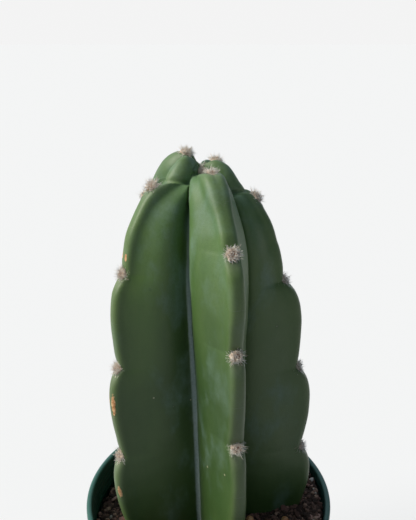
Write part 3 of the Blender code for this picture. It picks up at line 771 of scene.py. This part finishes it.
def make_pad_mesh(frames):
    """Felt pads, one for each place, facing, uphill and radius: low domes with a dimple in the middle. The
    share of the way from a pad's middle to its rim is kept as an attribute, and is 2 on its buried skirt."""
    points, faces, shares = [], [], []
    ring_shares = [ring / PAD_RINGS for ring in range(1, PAD_RINGS + 1)]
    for place, facing, uphill, radius in frames:
        side = np.cross(uphill, facing)
        start = len(points)
        for share in ring_shares + [2.0]:
            for k in range(PAD_SIDES):
                a = 2 * math.pi * k / PAD_SIDES
                out = radius * min(share, 1.0) * (1 + 0.10 * math.sin(3 * a + start) + 0.06 * math.sin(5 * a))
                height = PAD_HEIGHT * (1 - share**2.6) - PAD_DIMPLE * math.exp(-((share / 0.3) ** 2))
                height = -PAD_SINK if share > 1 else height
                points.append(place + side * out * math.cos(a) + uphill * out * math.sin(a) + facing * height)
                shares.append(share)
        points += [place + facing * (PAD_HEIGHT - PAD_DIMPLE), place - facing * PAD_SINK]
        shares += [0.0, 2.0]
        faces += [[start + i for i in face] for face in ring_faces(PAD_RINGS + 1, PAD_SIDES)]
    mesh = mesh_from("areole_pads", points, faces)
    set_attribute(mesh, "place_on_pad", shares)
    face_out(mesh)
    return mesh


def strand_recipe():
    """Strands rooted over a mesh of pads: each leans off the surface's normal, curls and thins to its tip."""
    recipe = Recipe("strands")
    density, seed = recipe.input("Density"), recipe.input("Seed", "Int")
    inner, outer = recipe.input("Inner"), recipe.input("Outer")
    shortest, longest = recipe.input("Shortest"), recipe.input("Longest")
    radius, lean, curl = recipe.input("Radius"), recipe.input("Lean"), recipe.input("Curl")
    material = recipe.input("Material", "Material")
    share = recipe.node("GeometryNodeInputNamedAttribute", {"data_type": "FLOAT"}, {"Name": "place_on_pad"})
    chosen = share.step(inner - 0.05, inner + 0.05) * share.step(outer + 0.05, outer - 0.05)
    scattered = {"Mesh": recipe.mesh, "Density": density * chosen, "Seed": seed}
    roots = recipe.node("GeometryNodeDistributePointsOnFaces", None, scattered)
    normal = Wire(recipe, roots.socket.node.outputs["Rotation"])
    tilt = recipe.random(0.0, 1.0, seed + 1) * lean
    spin = recipe.random(0.0, 2 * math.pi, seed + 2)
    turn = recipe.node("ShaderNodeCombineXYZ", None, {"X": tilt, "Z": spin})
    turn = recipe.node("FunctionNodeEulerToRotation", None, {0: turn})
    turn = recipe.node("FunctionNodeRotateRotation", {"rotation_space": "LOCAL"}, {0: normal, 1: turn})
    line = recipe.node("GeometryNodeCurvePrimitiveLine", None, {"Start": (0, 0, 0), "End": (0, 0, 1)})
    line = recipe.node("GeometryNodeResampleCurve", None, {"Curve": line, "Count": STRAND_POINTS})
    length = recipe.random(shortest, longest, seed + 3)
    stood = {"Points": roots, "Instance": line, "Rotation": turn, "Scale": length}
    strands = recipe.node("GeometryNodeInstanceOnPoints", None, stood)
    strands = recipe.node("GeometryNodeRealizeInstances", None, {0: strands})
    along = recipe.node("GeometryNodeSplineParameter", out="Factor")
    wander = recipe.wander(STRAND_CURL, 1.0, curl * along)
    strands = recipe.node("GeometryNodeSetPosition", None, {"Geometry": strands, "Offset": wander})
    for name, domain, value in (
        ("along_strand", "POINT", along),
        ("which_strand", "CURVE", recipe.random(0.0, 1.0, seed + 4)),
    ):
        kept = {"Geometry": strands, "Name": name, "Value": value}
        settings = {"domain": domain, "data_type": "FLOAT"}
        strands = recipe.node("GeometryNodeStoreNamedAttribute", settings, kept)
    ring = recipe.node("GeometryNodeCurvePrimitiveCircle", None, {"Resolution": STRAND_SIDES, "Radius": 1.0})
    thickness = radius * (1 - STRAND_TAPER * along)
    tubes = {"Curve": strands, "Profile Curve": ring, "Scale": thickness, "Fill Caps": True}
    recipe.finish(recipe.node("GeometryNodeCurveToMesh", None, tubes), material)
    return recipe


def wool_finish(name, root, tip, dull):
    """Matt strands, each a little different, that change colour from root to tip."""
    wool = Finish(name, Roughness=0.85, IOR=1.4)
    along, which = wool.attribute("along_strand"), wool.attribute("which_strand")
    colour = wool.mix(along.step(0.1, 0.7), root, tip)
    return wool.feed(Base_Color=wool.mix(which.step(0.55, 1.0) * 0.7, colour, dull))


def felt_finish():
    """The pad under the wool: reddish brown in the middle and cream towards the rim."""
    felt = Finish("areole_felt", Roughness=0.9, IOR=1.4)
    share, fluff = felt.attribute("place_on_pad"), felt.cloud(0.35, detail=4)
    outer = (share + (fluff - 0.5) * 0.5).step(0.30, 0.55)
    colour = felt.mix(outer, (0.24, 0.085, 0.045), (0.72, 0.58, 0.46))
    colour = felt.mix(fluff.step(0.5, 0.75) * 0.4, colour, (0.36, 0.22, 0.15))
    return felt.feed(Base_Color=colour, Normal=felt.bump(fluff, 0.25))


def make_areoles():
    """The pads, one more at the growing tip, and the wool, heart and spines that stand on them."""
    frames = areole_frames()
    nodes = [found[0] for found in frames]
    tip = stem_ring(2 * MM)[:, :3].mean(axis=0) - np.array([0, 0, 0.5 * MM])
    pads = [(place, facing, uphill, PAD_RADIUS) for _, place, facing, uphill in frames]
    pads.append((tip, np.array([0.0, 0, 1]), np.array([0.0, 1, 0]), APEX_PAD_RADIUS))
    mesh = make_pad_mesh(pads)
    recipe = strand_recipe()
    # Each tuft's name, then its colours at the root, at the tip and where dull, then the recipe's inputs
    tufts = (
        ("areole_wool", (0.86, 0.76, 0.66), (0.98, 0.95, 0.90), (0.92, 0.80, 0.70),
         dict(Density=1.3e7, Seed=3, Inner=0.25, Outer=1.0, Shortest=0.8 * MM, Longest=1.8 * MM,
              Radius=0.085 * MM, Lean=1.0, Curl=2.6 * MM)),
        ("areole_heart", (0.34, 0.13, 0.07), (0.70, 0.44, 0.30), (0.86, 0.68, 0.54),
         dict(Density=6.0e6, Seed=13, Inner=0.0, Outer=0.38, Shortest=0.6 * MM, Longest=1.2 * MM,
              Radius=0.09 * MM, Lean=0.8, Curl=1.2 * MM)),
        ("areole_spines", (0.72, 0.52, 0.38), (0.96, 0.90, 0.80), (0.72, 0.50, 0.36),
         dict(Density=1.3e6, Seed=23, Inner=0.1, Outer=1.0, Shortest=1.6 * MM, Longest=2.8 * MM,
              Radius=0.10 * MM, Lean=0.7, Curl=0.3 * MM)),
    )
    for name, root, tip_colour, dull, values in tufts:
        grown = recipe.grow(name, mesh, Material=wool_finish(name, root, tip_colour, dull), **values)
        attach(grown, "root")
    pads = add_object("areole_pads", mesh, felt_finish())
    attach(pads, "root")
    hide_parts(*nodes)


# ---------------------------------------------------------------- pot


def rounded(outline):
    """A polygon of (radius, height, fillet) corners with each corner turned into an arc."""
    points = []
    for i, (x, z, fillet) in enumerate(outline):
        corner = np.array([x, z])
        if fillet == 0:
            points.append(corner)
            continue
        before = np.array(outline[i - 1][:2]) - corner
        after = np.array(outline[(i + 1) % len(outline)][:2]) - corner
        before_way, after_way = before / np.linalg.norm(before), after / np.linalg.norm(after)
        half = math.acos(np.clip(before_way @ after_way, -1, 1)) / 2
        middle_way = (before_way + after_way) / np.linalg.norm(before_way + after_way)
        reach = min(fillet / math.tan(half), 0.45 * np.linalg.norm(before), 0.45 * np.linalg.norm(after))
        radius = reach * math.tan(half)
        centre = corner + middle_way * math.hypot(reach, radius)
        start, end = corner + before_way * reach - centre, corner + after_way * reach - centre
        turn = math.atan2(start[0] * end[1] - start[1] * end[0], start @ end)
        for share in (0, 0.25, 0.5, 0.75, 1):
            a = turn * share
            turned = np.array([[math.cos(a), -math.sin(a)], [math.sin(a), math.cos(a)]])
            points.append(centre + turned @ start)
    return points


def inner_wall():
    """The pot's inside as (radius, height, fillet) corners, from the floor up to the lip."""
    foot = FOOT_RADIUS - WALL
    floor_top = FLOOR_Z + WALL
    ridges = []
    for i in range(GRIP_RIDGES):
        z = RIM_Z - GRIP_LOWEST + GRIP_PITCH * i
        wide = COLLAR_RADIUS - 0.3 * MM - WALL + 0.1 * MM * i
        ridges += [(wide, z, 0), (wide - 0.22 * MM, z + 0.5 * MM, 0), (wide + 0.05 * MM, z + 1.1 * MM, 0)]
    return [
        (foot - 1.0 * MM, floor_top, 0.6 * MM),
        (foot + 0.4 * MM, floor_top + 1.4 * MM, 0.6 * MM),
        (COLLAR_RADIUS - STEP_WIDTH - WALL, COLLAR_Z - STEP_WIDTH + DRAFT, 0.8 * MM),
        (COLLAR_RADIUS - DRAFT - WALL, COLLAR_Z + DRAFT, 0.8 * MM),
        *ridges,
    ]


def pot_outline():
    """The pot's section, clockwise from the outside of its lip."""
    below_collar = COLLAR_RADIUS - STEP_WIDTH
    inner_foot = FOOT_RADIUS - WALL
    corners = [
        (RIM_RADIUS, RIM_Z, 1.0 * MM),
        (RIM_RADIUS, RIM_Z - LIP_DEPTH, 0.5 * MM),
        (COLLAR_RADIUS, RIM_Z - LIP_DEPTH, 0.3 * MM),
        (COLLAR_RADIUS - DRAFT, COLLAR_Z, 0.6 * MM),
        (below_collar, COLLAR_Z - STEP_WIDTH, 0.8 * MM),
        (FOOT_RADIUS + DRAFT, 3.0 * MM, 1.0 * MM),
        (FOOT_RADIUS, 0.0, 0.3 * MM),
        (inner_foot, 0.0, 0.3 * MM),
        (inner_foot, FLOOR_Z, 0.4 * MM),
        (0.6 * inner_foot, FLOOR_Z, 0),
        (0.6 * inner_foot, FLOOR_Z + WALL, 0),
        *inner_wall(),
        (RIM_RADIUS - LIP_WIDTH, RIM_Z, 1.0 * MM),
    ]
    return rounded(corners)


def turned_mesh(name, outline, sides):
    """A closed outline turned about the pot's axis, cut between its two points nearest the axis, which are
    joined to the axis by flat discs."""
    outline = list(outline)
    nearest = int(np.argmin([p[0] for p in outline]))
    if outline[nearest - 1][0] < outline[(nearest + 1) % len(outline)][0]:
        nearest -= 1
    ordered = outline[nearest + 1 :] + outline[: nearest + 1]
    angles = 2 * np.pi * np.arange(sides) / sides
    circle = np.column_stack([np.sin(angles), -np.cos(angles), np.zeros(sides)])
    points = [r * circle + [0, 0, z] for r, z in ordered]
    ends = [[0, 0, ordered[0][1]], [0, 0, ordered[-1][1]]]
    mesh = mesh_from(name, np.vstack([*points, ends]), ring_faces(len(ordered), sides))
    face_out(mesh)
    return mesh


def carve(target, cutters):
    """Cuts closed meshes out of an object and keeps the result as its plain mesh."""
    for cutter in cutters:
        modifier = target.modifiers.new(cutter.name, "BOOLEAN")
        modifier.object = cutter
    graph = bpy.context.evaluated_depsgraph_get()
    graph.update()
    cut = bpy.data.meshes.new_from_object(target.evaluated_get(graph), depsgraph=graph)
    target.modifiers.clear()
    target.data = cut
    for cutter in cutters:
        bpy.data.objects.remove(cutter)


def drain_cutters():
    """Plugs for the drain holes and blocks for the notches in the foot ring."""
    cutters = []
    centres = [np.zeros(3)]
    centres += [level(math.radians(45 + 360 / DRAIN_COUNT * i)) * DRAIN_CIRCLE for i in range(DRAIN_COUNT)]
    for centre in centres:
        bm = bmesh.new()
        sizes = {"segments": 48, "radius1": DRAIN_RADIUS, "radius2": DRAIN_RADIUS, "depth": CUTTER_DEPTH}
        bmesh.ops.create_cone(bm, cap_ends=True, matrix=Matrix.Translation(centre), **sizes)
        cutters.append(bm)
    for i in range(DRAIN_COUNT):
        azimuth = math.radians(90 * i)
        bm = bmesh.new()
        size = Matrix.Diagonal((NOTCH_WIDTH, NOTCH_LENGTH, 2 * NOTCH_HEIGHT, 1.0))
        turned = Matrix.Translation(level(azimuth) * FOOT_RADIUS) @ Matrix.Rotation(azimuth, 4, "Z")
        bmesh.ops.create_cube(bm, size=1.0, matrix=turned @ size)
        cutters.append(bm)
    made = []
    for i, bm in enumerate(cutters):
        mesh = bpy.data.meshes.new(f"cutter_{i}")
        bm.to_mesh(mesh)
        bm.free()
        made.append(add_object(f"cutter_{i}", mesh))
    return made


def pot_finish():
    """Satin injection-moulded plastic, with a painted highlight along its lip, dusty and scuffed in places.
    """
    plastic = Finish("pot_plastic", IOR=1.47)
    dust = plastic.cloud(9, detail=6, rough=0.65).step(0.45, 0.8)
    grain = plastic.cloud(0.5, detail=2)
    scuffs = plastic.cloud(1.2, detail=4, stretch=0.15, shift=4.0).step(0.62, 0.75)
    height = plastic.node("ShaderNodeSeparateXYZ", None, {0: plastic.place}, out=2)
    colour = plastic.mix(plastic.cloud(30), (0.006, 0.046, 0.036), (0.010, 0.060, 0.046))
    # Painted highlight: the top of the lip paler, as where it faces the light.
    lip = height.step(RIM_Z - 1.4 * MM, RIM_Z - 0.3 * MM)
    colour = plastic.mix(lip * 0.8, colour, (0.050, 0.150, 0.120))
    colour = plastic.mix(dust * 0.10, colour, (0.16, 0.15, 0.13))
    colour = plastic.mix(scuffs * 0.12, colour, (0.12, 0.19, 0.17))
    rough = 0.36 + dust * 0.22 + scuffs * 0.15
    return plastic.feed(Base_Color=colour, Roughness=rough, Normal=plastic.bump(grain + scuffs * 0.6, 0.03))


def make_pot():
    pot = add_object("nursery_pot", turned_mesh("nursery_pot", pot_outline(), POT_SIDES))
    carve(pot, drain_cutters())
    pot.data.materials.clear()
    pot.data.materials.append(pot_finish())
    pot.data.shade_smooth()
    pot.data.set_sharp_from_angle(angle=SHARP_ANGLE)
    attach(pot, "root")
    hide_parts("pot")


# ---------------------------------------------------------------- potting mix


def mix_height(x, y):
    """The mix's top: a plain slope with two low waves."""
    return MIX_TOP_Z + MIX_SLOPE * x + MIX_WAVE * np.sin(x / (9 * MM)) * np.cos(y / (11 * MM) + 0.7)


def socket_rows():
    """The hollow that the stem's foot stands in, as rows of points from the mix's top down to the foot."""
    arcs = np.linspace(SOCKET_START * FOOT_ARC, FOOT_ARC, SOCKET_SAMPLES)
    grid = np.array([stem_ring(arc, MIX_GAP)[:, :3] for arc in arcs])
    above = grid[..., 2] - mix_height(grid[..., 0], grid[..., 1])
    first = np.argmax(above < 0, axis=0)
    columns = np.arange(grid.shape[1])
    over, under = above[first - 1, columns], above[first, columns]
    start = first - 1 + over / (over - under)
    made = []
    for share in np.linspace(0, 1, SOCKET_ROWS) ** 1.3:
        at = np.minimum(start + (len(arcs) - 1 - start) * share, len(arcs) - 1.001)
        low = at.astype(int)
        part = (at - low)[:, None]
        made.append(grid[low, columns] * (1 - part) + grid[low + 1, columns] * part)
    return made


def make_mix_mesh():
    """The mix as one closed body: a socket for the foot, a lumpy top, the wall's inside and the floor."""
    socket = socket_rows()
    outline = socket[0]
    columns = len(outline)
    first_angle = math.atan2(outline[0][0], -outline[0][1])
    angles = first_angle + 2 * np.pi * np.arange(columns) / columns
    circle = np.column_stack([np.sin(angles), -np.cos(angles), np.zeros(columns)])
    edge = (COLLAR_RADIUS - DRAFT - WALL - MIX_GAP) * circle
    rows, open_top = list(reversed(socket)), [0.0] * len(socket)
    for share in np.linspace(0, 1, MIX_RINGS)[1:]:
        ring = outline + (edge - outline) * share
        ring[:, 2] = mix_height(ring[:, 0], ring[:, 1])
        settled = -MIX_SETTLING * max(0.0, share - 0.9) / 0.1
        ring[:, 2] += relief(ring, MIX_RELIEF) * min(1.0, 4 * share, 6 * (1 - share) + 0.3) + settled
        rows.append(ring)
        open_top.append(1.0 if share < 0.97 else 0.0)
    wall = [corner[:2] for corner in inner_wall()[:4]]
    for radius, z in reversed(wall):
        ring = (radius - MIX_GAP) * circle
        ring[:, 2] = z + (MIX_GAP if radius == wall[0][0] else 0)
        rows.append(ring)
        open_top.append(0.0)
    ends = [rows[0].mean(axis=0), [0, 0, rows[-1][0][2]]]
    mesh = mesh_from("potting_mix", np.vstack([*rows, ends]), ring_faces(len(rows), columns))
    set_attribute(mesh, "open_top", np.concatenate([np.repeat(open_top, columns), [0.0, 0.0]]))
    face_out(mesh)
    return mesh


def crumb_recipe():
    """Grains strewn over the open top of the mix: round or flat lumps, roughened, each turned its own way."""
    recipe = Recipe("crumbs")
    density, seed = recipe.input("Density"), recipe.input("Seed", "Int")
    smallest, largest = recipe.input("Smallest"), recipe.input("Largest")
    flat, long = recipe.input("Flat"), recipe.input("Long")
    rough, rise = recipe.input("Rough"), recipe.input("Rise")
    detail = recipe.input("Detail", "Int")
    material = recipe.input("Material", "Material")
    top = recipe.node("GeometryNodeInputNamedAttribute", {"data_type": "FLOAT"}, {"Name": "open_top"})
    sockets = {"Mesh": recipe.mesh, "Density": density * top.step(0.9, 1.0), "Seed": seed}
    spots = recipe.node("GeometryNodeDistributePointsOnFaces", None, sockets)
    turn = recipe.random((-CRUMB_TIP, -CRUMB_TIP, 0.0), (CRUMB_TIP, CRUMB_TIP, 2 * math.pi), seed + 1)
    size = smallest + (largest - smallest) * recipe.random(0.0, 1.0, seed + 2) ** 2.5
    length = recipe.random(1.0, long, seed + 3)
    shape = recipe.node("ShaderNodeCombineXYZ", None, {"X": size * length, "Y": size, "Z": size * flat})
    lump = recipe.node("GeometryNodeMeshIcoSphere", None, {"Radius": 0.5, "Subdivisions": detail})
    laid = {"Points": spots, "Instance": lump, "Rotation": turn, "Scale": shape}
    lumps = recipe.node("GeometryNodeInstanceOnPoints", None, laid)
    raised = recipe.node("ShaderNodeCombineXYZ", None, {"Z": size * flat * rise})
    sockets = {"Instances": lumps, "Translation": raised, "Local Space": False}
    lumps = recipe.node("GeometryNodeTranslateInstances", None, sockets)
    kept = {"Geometry": lumps, "Name": "which_grain", "Value": recipe.random(0.0, 1.0, seed + 4)}
    settings = {"domain": "INSTANCE", "data_type": "FLOAT"}
    lumps = recipe.node("GeometryNodeStoreNamedAttribute", settings, kept)
    lumps = recipe.node("GeometryNodeRealizeInstances", None, {0: lumps})
    dents = recipe.wander(CRUMB_DENT, 2.0, rough)
    lumps = recipe.node("GeometryNodeSetPosition", None, {"Geometry": lumps, "Offset": dents})
    recipe.finish(lumps, material)
    return recipe


def mix_finish(name, dark, brown, pale, pale_from):
    """Damp, crumbly matter: each grain between dark and brown, and some paler than the rest."""
    earth = Finish(name, IOR=1.4)
    which = earth.attribute("which_grain")
    fine, fibre = earth.cloud(0.7, detail=5), earth.cloud(0.35, detail=3, stretch=0.3, shift=3.0)
    blotch = (which * 0.75 + earth.cloud(5, detail=2, shift=1.0) * 0.5).step(0.35, 0.95)
    colour = earth.mix(blotch, dark, brown)
    colour = earth.mix(which.step(pale_from, pale_from + 0.02) * fine.step(0.3, 0.6), colour, pale)
    colour = earth.mix(fibre.step(0.55, 0.8) * 0.3, colour, dark)
    rough = 0.95 - blotch * 0.15
    return earth.feed(Base_Color=colour, Roughness=rough, Normal=earth.bump(fine + fibre * 0.5, 0.25))


def make_mix():
    mesh = make_mix_mesh()
    recipe = crumb_recipe()
    dark, brown = (0.045, 0.027, 0.021), (0.190, 0.105, 0.078)
    # Each layer's name and slot, its dark, middle and pale colours and how rare pale is, then the inputs
    layers = (
        ("mix_crumbs", "potting_mix", (dark, brown, (0.42, 0.27, 0.20), 0.90),
         dict(Density=0.85e6, Seed=5, Smallest=0.5 * MM, Largest=2.4 * MM, Flat=0.8, Long=1.6, Rough=0.5 * MM,
              Rise=0.1, Detail=1)),
        ("bark_chips", "bark_chip", ((0.080, 0.040, 0.030), (0.290, 0.150, 0.120), (0.52, 0.32, 0.27), 0.70),
         dict(Density=0.050e6, Seed=9, Smallest=1.6 * MM, Largest=3.8 * MM, Flat=0.34, Long=2.0,
              Rough=0.6 * MM, Rise=0.3, Detail=2)),
        ("perlite_crumbs", "perlite", ((0.30, 0.26, 0.22), (0.56, 0.50, 0.44), (0.66, 0.62, 0.58), 0.60),
         dict(Density=0.008e6, Seed=17, Smallest=0.8 * MM, Largest=2.0 * MM, Flat=0.8, Long=1.3,
              Rough=0.5 * MM, Rise=0.2, Detail=2)),
    )
    for name, slot, colours, values in layers:
        grown = recipe.grow(name, mesh, Material=mix_finish(name, *colours), **values)
        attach(grown, "root")
        if name == "bark_chips":
            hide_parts(*nodes_called("bark_chip"))
    mix = add_object("potting_mix_bed", mesh, mix_finish("mix_bed", dark, brown, dark, 0.9))
    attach(mix, "root")
    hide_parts("potting_mix")


# ---------------------------------------------------------------- beads and perlite


def make_grains(name, nodes, dent, finish):
    """Rounded grains in the boxes that the frame gives them, dented by dent of their size."""
    bm = bmesh.new()
    for node in nodes:
        low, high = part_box(node)
        middle, size = (low + high) / 2, high - low
        placed = Matrix.Translation(middle) @ Matrix.Diagonal((*size, 1.0))
        made = bmesh.ops.create_icosphere(bm, subdivisions=4, radius=0.5, matrix=placed)
        for v in made["verts"]:
            dents = noise.noise(v.co / (1.1 * MM)) * 0.7 + noise.noise(v.co / (0.45 * MM)) * 0.3
            v.co = middle + (v.co - middle) * (1 - dent * (0.5 + dents))
    mesh = bpy.data.meshes.new(name)
    bm.to_mesh(mesh)
    bm.free()
    mesh.shade_smooth()
    made = add_object(name, mesh, finish)
    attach(made, "root")
    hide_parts(*nodes)


def bead_finish():
    """A resin coat over fertiliser: tan, glossy and darker in spots."""
    coat = Finish("bead_coat", IOR=1.5, Coat_Weight=0.4, Coat_Roughness=0.2)
    blotch = coat.cloud(1.6, detail=3).step(0.35, 0.65)
    colour = coat.mix(blotch, (0.40, 0.17, 0.055), (0.72, 0.42, 0.20))
    speckle = coat.cloud(0.3, detail=2, shift=6.0).step(0.6, 0.75)
    colour = coat.mix(speckle * 0.35, colour, (0.20, 0.075, 0.03))
    return coat.feed(Base_Color=colour, Roughness=0.38 + blotch * 0.15, Normal=coat.bump(speckle, 0.05))


def perlite_finish():
    """Foamed glass: chalky and pitted."""
    chalk = Finish("perlite_chalk", Roughness=0.9, IOR=1.4)
    pits = chalk.cells(0.42).step(0.15, 0.5)
    colour = chalk.mix(pits, (0.46, 0.38, 0.31), (0.80, 0.74, 0.66))
    return chalk.feed(Base_Color=colour, Normal=chalk.bump(pits, 0.15))


def root_finish():
    """Woody bark with fibres along its length."""
    bark = Finish("root_bark", Roughness=0.9)
    fibre = bark.cloud(1.2, detail=4, stretch=6.0)
    colour = bark.mix(fibre.step(0.35, 0.65), (0.20, 0.12, 0.06), (0.40, 0.27, 0.15))
    return bark.feed(Base_Color=colour, Normal=bark.bump(fibre, 0.2))


make_studio()
make_pot()
make_mix()
make_stem()
make_areoles()
make_grains("fertiliser_beads", nodes_called("fertiliser_prill"), 0.02, bead_finish())
make_grains("perlite_grains", nodes_called("perlite_grain"), 0.22, perlite_finish())
roots = bpy.data.objects["roots"]
roots.data.materials.clear()
roots.data.materials.append(root_finish())
